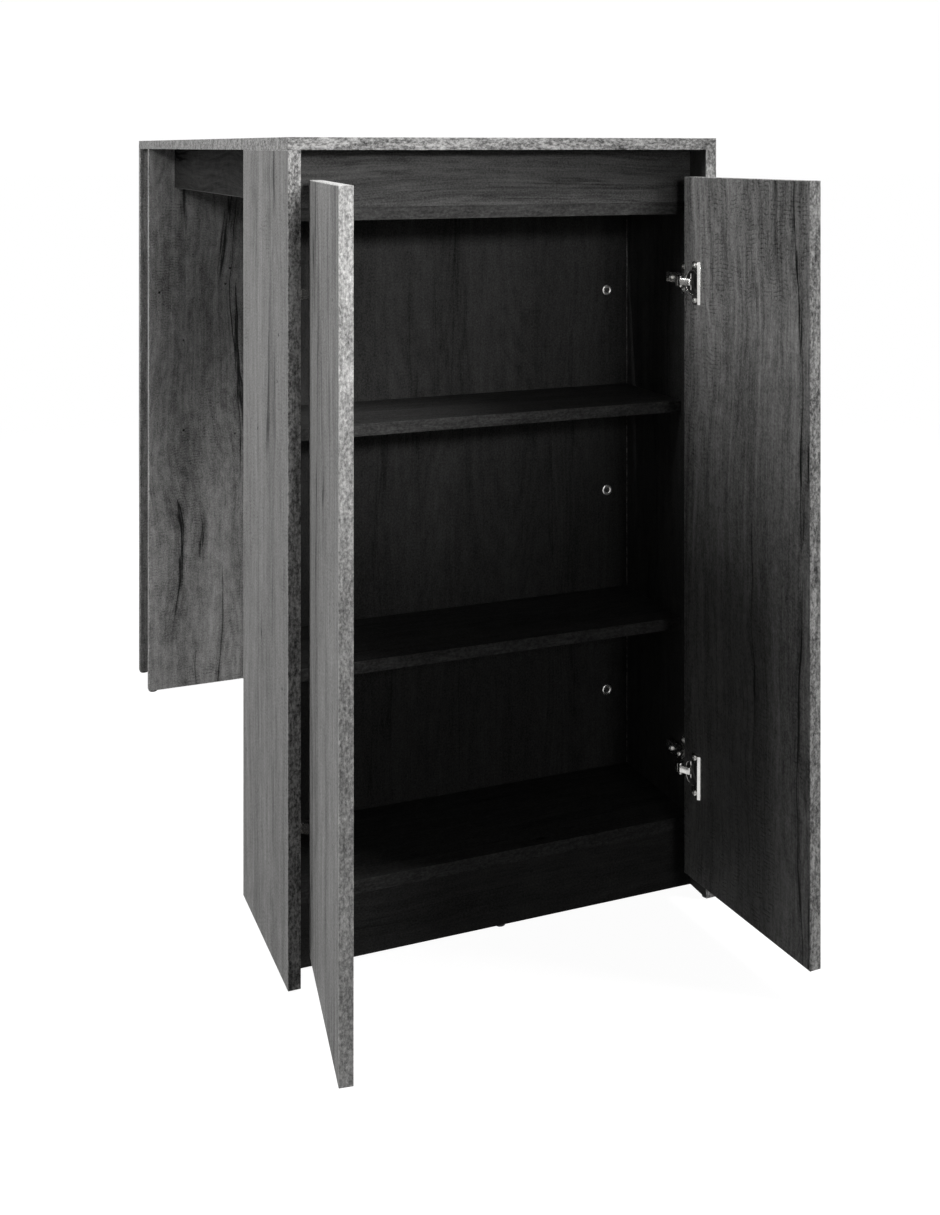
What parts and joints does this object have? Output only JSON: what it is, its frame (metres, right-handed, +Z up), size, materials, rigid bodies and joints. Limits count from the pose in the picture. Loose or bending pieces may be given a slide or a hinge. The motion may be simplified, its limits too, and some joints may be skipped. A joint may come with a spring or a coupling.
{
  "type": "bar table",
  "caption": "Tall narrow bar table whose top rests on a shelved cabinet with hinged doors at one end and on a hollow panel leg at the other, joined by long rails.",
  "frame": {"origin": "on the floor, under the middle of the plinth board, at the centre of its glide's lower face", "axes": "+X across the table to the right-hand door, +Y along it from the cabinet to the leg, +Z up; the doors swing out towards -Y"},
  "size_m": [0.6103, 1.5104, 1.05],
  "materials": {
    "grey_oak_board": "matt melamine with a dark grey oak grain",
    "hinge_steel": "nickel plated",
    "screw_steel": "zinc plated",
    "cam_zinc": "raw die-cast zinc",
    "glide_plastic": "moulded, matt"
  },
  "bodies": {
    "table": {"table_top": "grey_oak_board", "left_side_panel": "grey_oak_board", "right_side_panel": "grey_oak_board", "back_panel": "grey_oak_board", "ceiling_board": "grey_oak_board", "bottom_board": "grey_oak_board", "upper_shelf": "grey_oak_board", "lower_shelf": "grey_oak_board", "plinth_board": "grey_oak_board", "front_rail": "grey_oak_board", "left_rail": "grey_oak_board", "right_rail": "grey_oak_board", "leg_inner_panel": "grey_oak_board", "leg_outer_panel": "grey_oak_board", "leg_spine": "grey_oak_board", "left_upper_mounting_plate": "hinge_steel", "left_lower_mounting_plate": "hinge_steel", "right_upper_mounting_plate": "hinge_steel", "right_lower_mounting_plate": "hinge_steel", "left_upper_hinge_arm": "hinge_steel", "left_lower_hinge_arm": "hinge_steel", "right_upper_hinge_arm": "hinge_steel", "right_lower_hinge_arm": "hinge_steel", "plate_screws": "screw_steel", "arm_screws": "screw_steel", "cam_locks": "cam_zinc", "shelf_supports": "screw_steel", "floor_glides": "glide_plastic"},
    "left_door": {"left_door": "grey_oak_board", "left_hinge_cups": "hinge_steel", "left_cup_screws": "screw_steel"},
    "right_door": {"right_door": "grey_oak_board", "right_hinge_cups": "hinge_steel", "right_cup_screws": "screw_steel"},
    "left_hinge_links": {"left_upper_hinge_link": "hinge_steel", "left_lower_hinge_link": "hinge_steel"},
    "right_hinge_links": {"right_upper_hinge_link": "hinge_steel", "right_lower_hinge_link": "hinge_steel"}
  },
  "joints": [
    {"name": "left_door_swing", "type": "hinge", "parent": "table", "child": "left_door", "pos_m": [-0.2727, -0.05125, 0.5185], "axis": [0, 0, 1], "range_deg": [-7, 98]},
    {"name": "right_door_swing", "type": "hinge", "parent": "table", "child": "right_door", "pos_m": [0.2727, -0.05125, 0.5185], "axis": [0, 0, -1], "range_deg": [-11, 94]},
    {"name": "left_link_turn", "type": "hinge", "parent": "table", "child": "left_hinge_links", "pos_m": [-0.2502, -0.0427, 0.5185], "axis": [0, 0, 1], "range_deg": [-63.8, 4.6]},
    {"name": "right_link_turn", "type": "hinge", "parent": "table", "child": "right_hinge_links", "pos_m": [0.2502, -0.0427, 0.5185], "axis": [0, 0, -1], "range_deg": [-61.2, 7.2]}
  ],
  "couplings": [
    {"joint": "left_link_turn", "follows": "left_door_swing", "ratio": -0.65},
    {"joint": "right_link_turn", "follows": "right_door_swing", "ratio": -0.65}
  ]
}
